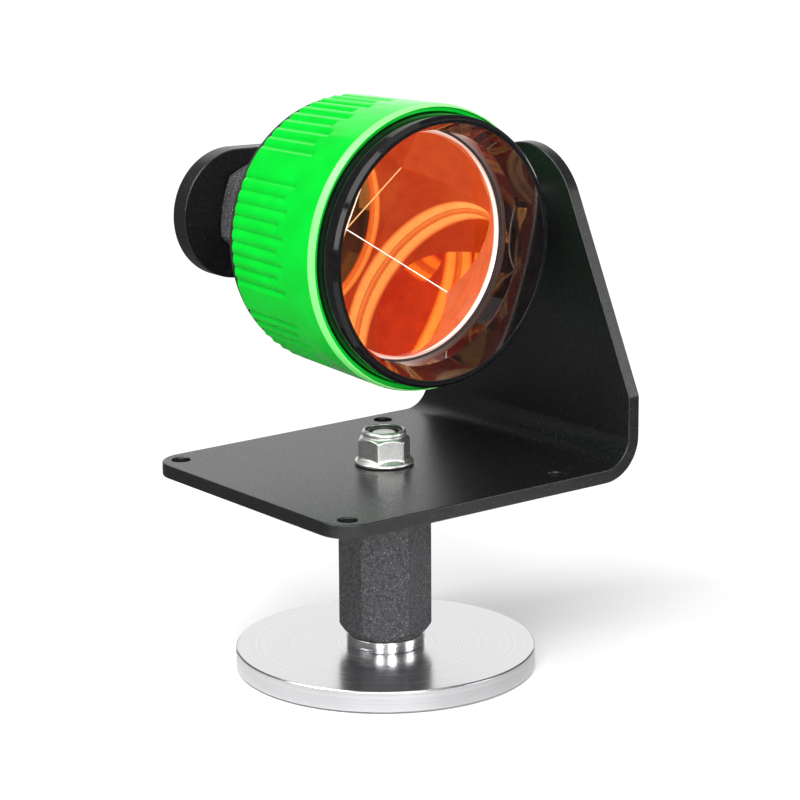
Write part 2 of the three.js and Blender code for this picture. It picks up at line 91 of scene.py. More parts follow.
# ---- Places, read from the CAD ----

AXIS_Z = next(j for j in frame["joints"] if j["name"] == "tilt")["pos_m"][2]
X, Y, Z = Vector((1, 0, 0)), Vector((0, 1, 0)), Vector((0, 0, 1))
Axis = namedtuple("Axis", "origin across up along index")
PAN = Axis(Vector(), X, Y, Z, 2)
TILT = Axis(Vector((0, 0, AXIS_Z)), Y, Z, X, 0)
ROLL = Axis(Vector((0, 0, AXIS_Z)), X, Z, Y, 1)
Span = namedtuple("Span", "radius start end")


def span(node, axis):
    """The outer radius of a turned CAD node, and where it starts and ends along its axis, in mm."""
    low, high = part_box(node)
    across = (axis.index + 1) % 3
    radius = (high[across] - low[across]) / 2
    return Span(radius / MM, low[axis.index] / MM, high[axis.index] / MM)


def body_of_node(node):
    bodies = frame["record"]["behaviour"]["bodies"]
    return next(body for body, nodes in bodies.items() if node in nodes)


# ---- Mesh building ----


def add_piece(node, mesh, slot, *materials):
    """Makes the mesh a piece that stands for the CAD node, with soft normals over flat faces."""
    mesh.shade_smooth()
    for material in materials:
        mesh.materials.append(material)
    piece = bpy.data.objects.new(node + "_look", mesh)
    bpy.context.scene.collection.objects.link(piece)
    normals = piece.modifiers.new("Normals", "WEIGHTED_NORMAL")
    normals.keep_sharp = True
    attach(piece, body_of_node(node))
    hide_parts(node)
    return piece


def closed_mesh(name, points, faces, paints=None):
    """A mesh whose faces point outward, from points in mm; paints gives each face's material index."""
    built = bmesh.new()
    corners = [built.verts.new(Vector(point) * MM) for point in points]
    for number, face in enumerate(faces):
        made = built.faces.new([corners[i] for i in face])
        if paints:
            made.material_index = paints[number]
    bmesh.ops.remove_doubles(built, verts=built.verts, dist=1e-6)
    bmesh.ops.recalc_face_normals(built, faces=built.faces)
    mesh = bpy.data.meshes.new(name)
    built.to_mesh(mesh)
    built.free()
    return mesh


def rounded(corners):
    """A profile of (radius, along, rounding) corners as points, each rounded corner as a short arc."""
    closed = corners[0][0] > 0
    points = []
    for number, (radius, along, rounding) in enumerate(corners):
        here = Vector((radius, along))
        if not rounding:
            points.append(here)
            continue
        before = Vector(corners[number - 1][:2]) - here
        after = Vector(corners[(number + 1) % len(corners)][:2]) - here
        cut = min(rounding, before.length * 0.49, after.length * 0.49)
        start = here + before.normalized() * cut
        end = here + after.normalized() * cut
        for step in range(ARC_STEPS + 1):
            t = step / ARC_STEPS
            points.append(start * (1 - t) ** 2 + here * 2 * t * (1 - t) + end * t ** 2)
    return points, closed


def turned_mesh(name, outline, axis, turn=0, angles=None, paint=None):
    """A mesh turned about an axis. The outline is a list of corners in mm, or a function that gives
    them for each angle, as for a hexagon; paint gives a material index for (radius, along)."""
    outline_at = outline if callable(outline) else lambda angle: outline
    angles = angles or [2 * pi * i / ROUND for i in range(ROUND)]
    points = []
    for angle in angles:
        profile, closed = rounded(outline_at(angle))
        spoke = axis.across * cos(angle + turn) + axis.up * sin(angle + turn)
        points += [axis.origin / MM + spoke * p[0] + axis.along * p[1] for p in profile]
    rows = len(profile)
    faces, paints = [], []
    for column in range(len(angles)):
        here, there = column * rows, (column + 1) % len(angles) * rows
        for row in range(rows if closed else rows - 1):
            after = (row + 1) % rows
            faces.append([here + row, here + after, there + after, there + row])
            middle = (profile[row] + profile[after]) / 2
            paints.append(paint(*middle) if paint else 0)
    return closed_mesh(name, points, faces, paints)


def hexagon(flats, turn=0):
    """The radius of a hexagonal bar at each angle, its six edges very slightly rounded."""
    sharpness = 90

    def radius(angle):
        faces = [max(0, cos(angle - turn - side * pi / 3)) for side in range(6)]
        return flats / 2 / sum(face ** sharpness for face in faces) ** (1 / sharpness)

    return radius


# ---- Bent sheet metal ----


def arc(centre, radius, start, end, steps=24):
    turns = [radians(start + (end - start) * i / steps) for i in range(steps + 1)]
    return [Vector(centre) + Vector((cos(a), sin(a))) * radius for a in turns]


def round_hole(centre, radius):
    """A circle walked clockwise, so that the sheet lies on its left."""
    return arc(centre, radius, 360, 0, 36)[:-1]


def tangent_angle(outside, centre, radius):
    """Angle, seen from the centre, at which a line from outside touches the circle, clockwise of it."""
    away = Vector(outside) - Vector(centre)
    return degrees(atan2(away.y, away.x) - acos(radius / away.length))


def cut_at(loop, stations):
    """The loop with a point added wherever it crosses a station of its first coordinate."""
    cut = []
    for here, there in zip(loop, loop[1:] + loop[:1]):
        cut.append(here)
        low, high = sorted((here.x, there.x))
        crossed = [s for s in stations if low + 1e-6 < s < high - 1e-6]
        for station in sorted(crossed, reverse=here.x > there.x):
            cut.append(here.lerp(there, (station - here.x) / (there.x - here.x)))
    return cut


def inset(loop, distance):
    """The loop moved to its left, into the sheet."""
    moved = []
    for before, here, after in zip(loop[-1:] + loop[:-1], loop, loop[1:] + loop[:1]):
        left = [Vector((-d.y, d.x)) for d in ((here - before).normalized(), (after - here).normalized())]
        moved.append(here + (left[0] + left[1]) * distance / (1 + left[0].dot(left[1])))
    return moved


def inside(point, loop):
    crossings = 0
    for a, b in zip(loop, loop[1:] + loop[:1]):
        if (a.y > point.y) != (b.y > point.y):
            crossings += point.x < a.x + (b.x - a.x) * (point.y - a.y) / (b.y - a.y)
    return crossings % 2 == 1


def filled(loops, stations):
    """Triangles, as indices into the loops' points, that fill the first loop and leave out the rest."""
    points = [point for loop in loops for point in loop]
    edges, start = [], 0
    for loop in loops:
        edges += [(start + i, start + (i + 1) % len(loop)) for i in range(len(loop))]
        start += len(loop)
    for station in stations:
        ends = [i for i, point in enumerate(loops[0]) if abs(point.x - station) < 0.05]
        edges.append((min(ends, key=lambda i: points[i].y), max(ends, key=lambda i: points[i].y)))
    places, _, triangles, sources, _, _ = delaunay_2d_cdt(points, edges, [], 0, 1e-7)
    kept = []
    for triangle in triangles:
        middle = sum((places[i] for i in triangle), Vector((0, 0))) / 3
        if inside(middle, loops[0]) and not any(inside(middle, hole) for hole in loops[1:]):
            kept.append([sources[i][0] for i in triangle])
    return kept


Bend = namedtuple("Bend", "low wall radius thickness")


def bent(bend, along, height):
    """Where a point of the flat sheet goes once it is bent: along one way, then up the wall."""
    middle = bend.radius + bend.thickness / 2
    start = bend.wall - bend.radius
    centre = bend.low + bend.thickness + bend.radius
    reach = middle - height
    if along <= start:
        return along, centre - reach
    angle = (along - start) / middle
    if angle < pi / 2:
        return start + reach * sin(angle), centre - reach * cos(angle)
    return start + reach, centre + along - start - middle * pi / 2


def sheet_mesh(name, outline, holes, bend, place, edge=0.4, bend_steps=14):
    """A sheet cut to an outline and holes in (along, across), its edges rounded, bent once."""
    start = bend.wall - bend.radius
    developed = (bend.radius + bend.thickness / 2) * pi / 2
    stations = [start + developed * i / bend_steps for i in range(bend_steps + 1)]
    loops = [cut_at(outline, stations)] + holes
    turns = [i * pi / 2 / ARC_STEPS for i in range(ARC_STEPS + 1)]
    upper = [(edge * (1 - cos(a)), bend.thickness / 2 - edge + edge * sin(a)) for a in turns]
    levels = [(depth, -height) for depth, height in reversed(upper)] + upper
    points = []
    for depth, height in levels:
        for loop in loops:
            for point in inset(loop, depth):
                points.append(place(*bent(bend, point.x, height), point.y))
    count = sum(len(loop) for loop in loops)
    faces, first = [], 0
    for loop in loops:
        for i in range(len(loop)):
            here, there = first + i, first + (i + 1) % len(loop)
            for level in range(len(levels) - 1):
                base = level * count
                faces.append([base + here, base + there, base + count + there, base + count + here])
        first += len(loop)
    cap = filled([inset(loop, edge) for loop in loops], stations)
    top = (len(levels) - 1) * count
    faces += cap + [[top + i for i in triangle] for triangle in cap]
    return closed_mesh(name, points, faces)


# ---- Materials ----


class Finish:
    """A material with short calls for the nodes that the finishes share."""

    def __init__(self, name, **sockets):
        self.material = bpy.data.materials.new(name)
        self.material.use_nodes = True
        self.tree = self.material.node_tree
        self.shader = self.tree.nodes["Principled BSDF"]
        for socket, value in sockets.items():
            self.shader.inputs[socket.replace("_", " ")].default_value = value
        self.place = self.node("TexCoord").outputs["Object"]

    def node(self, kind, inputs=None, **settings):
        made = self.tree.nodes.new("ShaderNode" + kind)
        for setting, value in settings.items():
            setattr(made, setting, value)
        for socket, value in (inputs or {}).items():
            if isinstance(value, bpy.types.NodeSocket):
                self.tree.links.new(value, made.inputs[socket])
            else:
                made.inputs[socket].default_value = value
        return made

    def lathe_place(self):
        """Coordinates that only change with the distance from Z and the height, as tool marks do."""
        parts = self.node("SeparateXYZ", {"Vector": self.place}).outputs
        flat = self.node("CombineXYZ", {"X": parts["X"], "Y": parts["Y"]}).outputs[0]
        distance = self.node("VectorMath", {0: flat}, operation="LENGTH").outputs["Value"]
        return self.node("CombineXYZ", {"X": distance, "Z": parts["Z"]}).outputs[0]

    def grain(self, size, low=0.35, high=0.65, detail=3, place=None):
        """Noise with features of that size in mm, stretched so that low to high covers 0 to 1."""
        inputs = {"Vector": place or self.place, "Scale": 1 / (size * MM), "Detail": detail}
        noise = self.node("TexNoise", inputs).outputs["Fac"]
        return self.between(noise, 0, 1, low, high)

    def between(self, value, low, high, from_low=0, from_high=1):
        inputs = {"Value": value, 1: from_low, 2: from_high, 3: low, 4: high}
        return self.node("MapRange", inputs, clamp=True).outputs["Result"]

    def mix(self, factor, first, second):
        mixed = self.node("Mix", {0: factor, 6: first, 7: second}, data_type="RGBA")
        return mixed.outputs[2]

    def colour(self, value):
        self.tree.links.new(value, self.shader.inputs["Base Color"])

    def roughness(self, value):
        self.tree.links.new(value, self.shader.inputs["Roughness"])

    def let_lamps_through(self):
        """Lets light from the lamps straight in, so that what lies behind the glass is lit."""
        lamp_ray = self.node("LightPath").outputs["Is Shadow Ray"]
        clear = self.node("BsdfTransparent").outputs[0]
        mixed = self.node("MixShader", {0: lamp_ray, 1: self.shader.outputs[0], 2: clear})
        self.tree.links.new(mixed.outputs[0], self.tree.nodes["Material Output"].inputs["Surface"])

    def relief(self, height, depth):
        """Raises the surface by up to that many mm where the height is 1."""
        bump = self.node("Bump", {"Height": height, "Distance": depth * MM})
        self.tree.links.new(bump.outputs["Normal"], self.shader.inputs["Normal"])


def rgb(red, green, blue):
    return (red, green, blue, 1)


def plain_finish(name, dark, light, rough, size, depth, **sockets):
    """A finish whose tone, roughness and relief all vary with a fine grain."""
    made = Finish(name, **sockets)
    made.colour(made.mix(made.grain(size * 4), dark, light))
    made.roughness(made.between(made.grain(size * 2), *rough))
    made.relief(made.grain(size), depth)
    return made.material


def turned_steel():
    made = Finish("turned_steel", Metallic=1.0)
    place = made.lathe_place()
    made.colour(made.mix(made.grain(0.5, place=place), rgb(0.60, 0.60, 0.61), rgb(0.67, 0.67, 0.68)))
    made.roughness(made.between(made.grain(0.35, place=place), 0.16, 0.28))
    made.relief(made.grain(0.12, 0.2, 0.8, place=place), 0.0006)
    return made.material


def powder_coat(name, dark, light, size, depth, glint_speck_colour, share, rough, shine=0.5):
    """Textured paint: a fine orange peel, with small pale specks painted into its colour all over as
    painted glints.
    """
    made = Finish(name, Specular_IOR_Level=shine)
    base = made.mix(made.grain(size * 3), dark, light)
    # Painted glints: pale specks mixed into the base colour.
    painted_glints = made.grain(size, share, share + 0.06, detail=1)
    made.colour(made.mix(painted_glints, base, glint_speck_colour))
    made.roughness(made.between(made.grain(size * 2), *rough))
    made.relief(made.grain(size, 0.25, 0.75), depth)
    return made.material


def green_plastic():
    made = Finish("green_plastic", IOR=1.36, Specular_IOR_Level=0.25)
    tone = made.grain(9, detail=1)
    made.colour(made.mix(tone, rgb(0.0, 0.48, 0.022), rgb(0.0, 0.53, 0.027)))
    made.roughness(made.between(made.grain(0.6), 0.12, 0.20))
    made.relief(made.grain(0.4), 0.0008)
    return made.material


def pale_lip_green():
    # A paler green for the housing's front lip.
    made = Finish("pale_lip_green")
    made.colour(made.mix(made.grain(0.25), rgb(0.15, 0.78, 0.14), rgb(0.26, 0.84, 0.24)))
    made.roughness(made.between(made.grain(0.4), 0.3, 0.45))
    made.relief(made.grain(0.2), 0.002)
    return made.material


def black_gloss(name, rough, shine):
    made = Finish(name, Specular_IOR_Level=shine)
    made.colour(made.mix(made.grain(2), rgb(0.004, 0.004, 0.0045), rgb(0.007, 0.007, 0.008)))
    made.roughness(made.between(made.grain(1.5), *rough))
    made.relief(made.grain(1.2, detail=2), 0.0008)
    return made.material


def polished_glass():
    made = Finish("polished_glass", Transmission_Weight=1.0, IOR=1.51)
    made.colour(made.mix(made.grain(6), rgb(0.985, 0.99, 0.985), rgb(1, 1, 1)))
    made.roughness(made.between(made.grain(3), 0.0, 0.004))
    made.let_lamps_through()
    return made.material


def copper_mirror():
    made = Finish("copper_mirror", Metallic=1.0)
    made.colour(made.mix(made.grain(5), rgb(0.85, 0.54, 0.26), rgb(0.88, 0.58, 0.29)))
    made.roughness(made.between(made.grain(2), 0.01, 0.03))
    return made.material


def ground_copper_painted_glow():
    """Copper over ground glass. Like the bare ground glass, it has a painted glow: an emission that
    stands in for the light that the glass carries round inside it."""
    made = Finish("ground_copper_painted_glow", Emission_Color=rgb(0.9, 0.16, 0.05), Emission_Strength=0.35)
    made.colour(made.mix(made.grain(4), rgb(0.34, 0.06, 0.018), rgb(0.44, 0.09, 0.028)))
    made.roughness(made.between(made.grain(0.3), 0.35, 0.5))
    made.relief(made.grain(0.2), 0.01)
    return made.material


def ground_edge_painted_glow():
    """Ground glass with a painted glow: an emission that stands in for the light that the glass carries
    round inside it.
    """
    made = Finish("ground_edge_painted_glow", Emission_Color=rgb(1, 0.90, 0.82), Emission_Strength=0.75)
    made.colour(made.mix(made.grain(0.3), rgb(0.72, 0.70, 0.69), rgb(0.88, 0.86, 0.85)))
    made.roughness(made.between(made.grain(0.2), 0.5, 0.7))
    made.relief(made.grain(0.15), 0.01)
    return made.material


def ground_band_painted_glow(start, depth, fade=1.5):
    """The ground band behind the glass front, which starts there along Y and is that deep, in mm. The
    mirrors show it as pale arcs: lines run round it, and it fades to pink towards both ends. It has a
    painted glow, an emission that stands in for the light the glass carries round inside it."""
    made = Finish("ground_band_painted_glow", Emission_Strength=0.8)
    end = start + depth
    along = made.node("SeparateXYZ", {"Vector": made.place}).outputs["Y"]
    after = made.between(along, 0, 1, start * MM, (start + fade) * MM)
    before = made.between(along, 1, 0, (end - fade) * MM, end * MM)
    core = made.node("Math", {0: after, 1: before}, operation="MULTIPLY").outputs[0]
    lengthwise = made.node("CombineXYZ", {"Y": along}).outputs[0]
    clear = made.grain(0.9, 0.38, 0.48, place=lengthwise)
    tone = made.mix(clear, rgb(0.45, 0.22, 0.12), rgb(0.86, 0.83, 0.80))
    light = made.mix(clear, rgb(0.75, 0.42, 0.22), rgb(1, 0.98, 0.96))
    made.colour(made.mix(core, rgb(0.55, 0.17, 0.10), tone))
    # Painted glow: the emission colour, pale in the middle and pinker towards both ends.
    made.tree.links.new(made.mix(core, rgb(0.8, 0.26, 0.16), light), made.shader.inputs["Emission Color"])
    made.roughness(made.between(made.grain(0.2), 0.5, 0.7))
    made.relief(made.grain(0.15), 0.01)
    return made.material


STEEL = turned_steel()
# The pale speck colours given to the two coats below are painted glints.
SPECKLED = powder_coat(
    "speckled_coat", rgb(0.040, 0.040, 0.043), rgb(0.080, 0.079, 0.083), 0.30, 0.07,
    rgb(0.50, 0.49, 0.50), 0.68, (0.42, 0.60), 0.15)
BLACK_COAT = powder_coat(
    "black_coat", rgb(0.004, 0.004, 0.0045), rgb(0.008, 0.008, 0.009), 0.24, 0.010,
    rgb(0.16, 0.16, 0.165), 0.72, (0.27, 0.38))
STAINLESS = plain_finish(
    "stainless", rgb(0.80, 0.79, 0.78), rgb(0.92, 0.91, 0.89), (0.32, 0.46), 0.3, 0.003, Metallic=1.0)
NYLON = plain_finish(
    "nylon", rgb(0.03, 0.035, 0.04), rgb(0.05, 0.055, 0.06), (0.35, 0.5), 0.3, 0.004)
GREEN = green_plastic()
GREEN_LIP = pale_lip_green()
BLACK_GLOSS = black_gloss("black_gloss", (0.05, 0.11), 0.22)
BLACK_POLISHED = black_gloss("black_polished", (0.02, 0.06), 0.8)
BLACK_MATTE = plain_finish(
    "black_matte", rgb(0.012, 0.012, 0.013), rgb(0.022, 0.022, 0.023), (0.5, 0.65), 0.25, 0.01)
RUBBER = plain_finish(
    "seal_rubber", rgb(0.010, 0.010, 0.010), rgb(0.018, 0.018, 0.018), (0.7, 0.85), 0.3, 0.008)
BRASS = plain_finish(
    "brass", rgb(0.66, 0.46, 0.20), rgb(0.76, 0.56, 0.27), (0.2, 0.32), 0.3, 0.003, Metallic=1.0)
GLASS = polished_glass()
COPPER = copper_mirror()
GROUND_EDGE_PAINTED_GLOW = ground_edge_painted_glow()
GROUND_BAND_PAINTED_GLOW = ground_band_painted_glow(span("corner_cube", ROLL).start, BAND_DEPTH)
GROUND_COPPER_PAINTED_GLOW = ground_copper_painted_glow()


# ---- Base ----


def base_disc():
    disc = span("base_disc", PAN)
    chamfer = 0.35
    depth = 2
    outline = [
        (0, disc.start, 0),
        (disc.radius - chamfer, disc.start, 0.1),
        (disc.radius, disc.start + chamfer, 0.1),
        (disc.radius, disc.end - chamfer, 0.1),
        (disc.radius - chamfer, disc.end, 0.1),
        (M8_HOLE, disc.end, 0),
        (M8_HOLE, disc.start + depth, 0),
        (0, disc.start + depth, 0),
    ]
    add_piece("base_disc", turned_mesh("base_disc", outline, PAN), "turned_steel", STEEL)


def base_collar():
    collar = span("base_collar", PAN)
    chamfer, groove = 0.45, 0.12
    middle = collar.start + 0.9
    outline = [
        (M8_BORE, collar.start, 0),
        (collar.radius - groove, collar.start, 0),
        (collar.radius - groove, collar.start + 0.25, 0.05),
        (collar.radius, collar.start + 0.4, 0.05),
        (collar.radius, middle, 0.05),
        (collar.radius - groove, middle + 0.12, 0.05),
        (collar.radius, middle + 0.24, 0.05),
        (collar.radius, collar.end - chamfer, 0.12),
        (collar.radius - chamfer, collar.end, 0.12),
        (M8_BORE, collar.end, 0),
    ]
    add_piece("base_collar", turned_mesh("base_collar", outline, PAN), "turned_steel", STEEL)


def hex_pillar():
    pillar = span("hex_pillar", PAN)
    flats, chamfer = 22.5, 2.4
    across = hexagon(flats, radians(-8))
    end_radius = flats / sqrt(3) - chamfer

    def outline(angle):
        cut = max(0, across(angle) - end_radius)
        return [
            (M8_BORE, pillar.start, 0),
            (end_radius, pillar.start, 0.3),
            (across(angle), pillar.start + cut, 0.4),
            (across(angle), pillar.end - cut, 0.4),
            (end_radius, pillar.end, 0.3),
            (M8_BORE, pillar.end, 0),
        ]

    add_piece("hex_pillar", turned_mesh("hex_pillar", outline, PAN), "speckled_coat", SPECKLED)


def centre_stud():
    stud = span("centre_stud", PAN)
    outline = [
        (0, stud.start, 0),
        (stud.radius - 0.5, stud.start, 0.1),
        (stud.radius, stud.start + 0.5, 0.1),
        (stud.radius, stud.end - 0.9, 0.2),
        (stud.radius - 0.9, stud.end - 0.1, 0.2),
        (stud.radius - 1.5, stud.end, 0.3),
        (0, stud.end, 0),
    ]
    add_piece("centre_stud", turned_mesh("centre_stud", outline, PAN), "stainless", STAINLESS)


def lock_nut(node, axis, start, turn=0):
    """An M8 flange nut with a crimped crown over its nylon ring; start is its seat along the axis."""
    flange_radius, flange, hex_top, top = 8.2, 1.15, 7.8, 9.8
    across = hexagon(M8_FLATS, turn)
    crown, lip, pocket, pocket_floor = 6.15, 5.5, 5.5, 7.2

    def outline(angle):
        side = across(angle)
        skirt = flange + (flange_radius - side) * 0.55
        cut = max(0, side - 6.45) * 0.75
        corners = [
            (M8_BORE, 0, 0.2),
            (flange_radius - 0.3, 0, 0.2),
            (flange_radius, 0.3, 0.2),
            (flange_radius, flange - 0.3, 0.45),
            (side, skirt, 0.5),
            (side, hex_top - 0.2 - cut, 0.25),
            (6.2, hex_top, 0.25),
            (5.9, hex_top + 0.25, 0.15),
            (crown, hex_top + 0.6, 0.2),
            (crown, top - 0.75, 0.5),
            (lip, top, 0.35),
            (lip - 0.35, top - 0.35, 0.15),
            (pocket, top - 0.75, 0.1),
            (pocket, pocket_floor, 0),
            (M8_BORE, pocket_floor, 0),
        ]
        return [(radius, start + along, rounding) for radius, along, rounding in corners]

    add_piece(node, turned_mesh(node, outline, axis), "stainless", STAINLESS)


def ring(node, axis, bore, rounding, slot, material, turn=0):
    """A plain ring as big as its CAD node, with its four edges rounded."""
    place = span(node, axis)
    outline = [
        (bore, place.start, rounding),
        (place.radius, place.start, rounding),
        (place.radius, place.end, rounding),
        (bore, place.end, rounding),
    ]
    add_piece(node, turned_mesh(node, outline, axis, turn), slot, material)


# ---- L bracket and arm ----


def bracket():
    low, high = (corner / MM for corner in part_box("bracket"))
    thickness = 3.8
    bend = Bend(low.z, high.x - thickness, 8, thickness)
    half_width = high.y
    corner, shoulder_round, top_radius, plate_hole = 9, 3, 21, 2.6
    developed = (bend.radius + thickness / 2) * pi / 2
    climb = bend.wall - bend.radius + developed - (low.z + thickness + bend.radius)
    shoulder = Vector((77.2 + climb, half_width))
    pivot = Vector((AXIS_Z / MM + climb, 0))
    touch = tangent_angle(shoulder, pivot, top_radius)
    turn = 90 - touch
    back = shoulder_round * tan(radians(turn) / 2)
    knee = Vector((shoulder.x - back, half_width - shoulder_round))
    left = low.x + corner
    outline = arc(pivot, top_radius, -touch, touch, 48)
    outline += arc(knee, shoulder_round, touch, 90, 8)
    outline += arc((left, half_width - corner), corner, 90, 180)
    outline += arc((left, corner - half_width), corner, 180, 270)
    outline += arc((knee.x, -knee.y), shoulder_round, 270, 270 + turn, 8)
    holes = [round_hole((x, y), plate_hole) for x in (-41.6, 29.2) for y in (-38.5, 38.5)]
    holes += [round_hole((0, 0), M8_HOLE), round_hole(pivot, M8_HOLE)]

    def place(along, up, across):
        return along, across, up

    mesh = sheet_mesh("bracket", outline, holes, bend, place)
    add_piece("bracket", mesh, "black_coat", BLACK_COAT)


def arm():
    low, high = (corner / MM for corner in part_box("arm"))
    thickness = 5.8
    bend = Bend(-high.y, high.x - thickness, 6, thickness)
    end_radius, neck, pivot_radius = high.z - AXIS_Z / MM, 16.7, 9.5
    developed = (bend.radius + thickness / 2) * pi / 2
    climb = bend.wall - bend.radius + developed - (bend.low + thickness + bend.radius)
    pivot = Vector((climb, 0))
    shoulder = Vector((bend.wall - bend.radius + developed, neck))
    touch = tangent_angle(shoulder, pivot, pivot_radius)
    end = Vector((low.x + end_radius, 0))
    bend_start = Vector((bend.wall - bend.radius, neck))
    outline = arc(pivot, pivot_radius, -touch, touch, 48)
    outline += [shoulder, bend_start]
    outline += arc(end, end_radius, 90, 270, 48)
    outline += [Vector((bend_start.x, -neck)), Vector((shoulder.x, -neck))]
    holes = [round_hole((0, 0), M8_HOLE), round_hole(pivot, M8_HOLE)]

    def place(along, forward, across):
        return along, -forward, across + AXIS_Z / MM

    mesh = sheet_mesh("arm", outline, holes, bend, place, edge=0.35)
    add_piece("arm", mesh, "black_coat", BLACK_COAT)


def tilt_bolt():
    bolt = span("tilt_bolt", TILT)
    head_height, crown, socket_depth = 4.4, 3.6, 2.6
    seat = bolt.start + head_height
    socket = hexagon(5)

    def outline(angle):
        return [
            (0, bolt.start + socket_depth, 0),
            (socket(angle), bolt.start + socket_depth, 0),
            (socket(angle), bolt.start + 0.3, 0.1),
            (socket(angle) + 0.4, bolt.start, 0.15),
            (crown, bolt.start, 1.2),
            (bolt.radius - 0.4, seat - 1.6, 1.2),
            (bolt.radius, seat - 0.6, 0.2),
            (bolt.radius - 0.2, seat, 0.1),
            (M8_SHANK, seat, 0.1),
            (M8_SHANK, bolt.end - 0.6, 0.1),
            (M8_SHANK - 0.6, bolt.end, 0.1),
            (0, bolt.end, 0),
        ]

    add_piece("tilt_bolt", turned_mesh("tilt_bolt", outline, TILT), "stainless", STAINLESS)


def arm_bolt():
    bolt = span("arm_bolt", ROLL)
    across = hexagon(M8_FLATS)
    head_height, collar = 5.3, 6.3
    seat = bolt.end - head_height

    def outline(angle):
        cut = max(0, across(angle) - 6.4) * 0.6
        return [
            (0, bolt.start, 0),
            (M8_SHANK - 0.6, bolt.start, 0.1),
            (M8_SHANK, bolt.start + 0.6, 0.1),
            (M8_SHANK, seat, 0.1),
            (collar, seat, 0.1),
            (collar, seat + 0.3, 0.1),
            (across(angle), seat + 0.3, 0.1),
            (across(angle), bolt.end - 0.1 - cut, 0.2),
            (6.2, bolt.end, 0.2),
            (0, bolt.end, 0),
        ]

    add_piece("arm_bolt", turned_mesh("arm_bolt", outline, ROLL), "stainless", STAINLESS)


# ---- Head ----

FLUTE_GROUPS = 6
FLUTES = 9
FLUTE_PITCH = radians(5.55)


def flute_at(angle):
    """How far an angle is from the nearest flute, from 0 in it to 1 midway to the next, and whether
    that flute is a long one. Outside the groups the distance is 1."""
    group = 2 * pi / FLUTE_GROUPS
    offset = (angle + group / 2) % group - group / 2
    number = round(offset / FLUTE_PITCH + (FLUTES - 1) / 2)
    number = min(max(number, 0), FLUTES - 1)
    distance = abs(offset - (number - (FLUTES - 1) / 2) * FLUTE_PITCH) / (FLUTE_PITCH / 2)
    return min(distance, 1), number % 2 == 0


def flute_angles():
    """Angles bunched round each flute, with a few more across the plain gaps between the groups."""
    steps = [0, 0.08, 0.2, 0.38, 0.6, 0.8]
    angles = []
    group = 2 * pi / FLUTE_GROUPS
    reach = FLUTES / 2 * FLUTE_PITCH
    for number in range(FLUTE_GROUPS):
        for flute in range(FLUTES):
            centre = number * group + (flute - (FLUTES - 1) / 2) * FLUTE_PITCH
            for step in sorted({sign * step for step in steps for sign in (-1, 1)} | {-1}):
                angles.append(centre + step * FLUTE_PITCH / 2)
        gap = group - 2 * reach
        angles += [number * group + reach + gap * i / 5 for i in range(5)]
    return angles


def housing():
    body = span("housing", ROLL)
    front_radius, rear_radius = 38.8, 37.2
    bore, seat_bore, seat = 35, 36.7, -15
    lip_start, lip_radius = body.start + 2.2, 37.95
    depth, lengths = 0.75, (22, 24.6)
    taper = (front_radius - rear_radius) / (body.end - lip_start)

    def wall(along):
        return front_radius - taper * (along - lip_start)

    def outline(angle):
        distance, is_long = flute_at(angle)
        cut = depth * (1 - distance) ** 1.9
        front = body.end - lengths[is_long]
        return [
            (seat_bore, body.start + 0.9, 0.1),
            (seat_bore + 0.25, body.start + 0.65, 0.1),
            (lip_radius - 0.15, body.start + 0.65, 0.04),
            (lip_radius - 0.1, body.start + 1.1, 0.04),
            (lip_radius, body.start + 1.1, 0.04),
            (lip_radius, body.start, 0.12),
            (lip_radius + 0.35, body.start, 0.3),
            (front_radius, lip_start, 0.6),
            (wall(front), front, 0),
            (wall(front + 0.2) - cut, front + 0.2, 0),
            (wall(body.end - 0.4) - cut, body.end - 0.4, 0.1),
            (min(rear_radius - 0.4, rear_radius - cut), body.end, 0.1),
            (bore, body.end, 0),
            (bore, seat, 0),
            (seat_bore, seat, 0),
        ]

    def paint(radius, along):
        return int(along < lip_start + 0.1 and radius > lip_radius + 0.02)

    mesh = turned_mesh("housing", outline, ROLL, HEAD_TURN, flute_angles(), paint)
    add_piece("housing", mesh, "green_plastic", GREEN, GREEN_LIP)


def hood():
    body = span("hood", ROLL)
    radius, mouth, flare, bore = 36.5, 34.4, -19.5, 31.7
    chamfer, shoulder = 1.0, -15.6
    recess, recess_front = 32.6, span("glass_gasket", ROLL).start - 0.1
    outline = [
        (radius, body.start + chamfer, 0.1),
        (radius, shoulder, 0.1),
        (HEAD_SPIGOT, shoulder, 0.1),
        (HEAD_SPIGOT, body.end, 0.1),
        (recess, body.end, 0.1),
        (recess, recess_front, 0.1),
        (bore, recess_front, 0.1),
        (bore, flare, 0.3),
        (mouth, body.start, 0.1),
        (radius - chamfer, body.start, 0.1),
    ]

    def paint(middle_radius, along):
        return int(middle_radius < mouth and along < recess_front + 0.5)

    mesh = turned_mesh("hood", outline, ROLL, HEAD_TURN, paint=paint)
    add_piece("hood", mesh, "black_gloss", BLACK_GLOSS, BLACK_POLISHED)


def cube_face(centre, radius, apex, gap):
    """Outline points of one mirror face, which falls away from the apex towards the angle centre: its
    inner corner, then its rim. It stops short of the cube's edges by half the gap."""
    reach = pi / 3 - asin(gap / 2 / radius)
    steps = 40
    inner = gap / sqrt(3)
    flat = [(inner, centre)]
    flat += [(radius, centre + reach * (2 * i / steps - 1)) for i in range(steps + 1)]
    heights = [apex - sqrt(2) * r * cos(angle - centre) for r, angle in flat]
    return [(r, angle, height) for (r, angle), height in zip(flat, heights)]


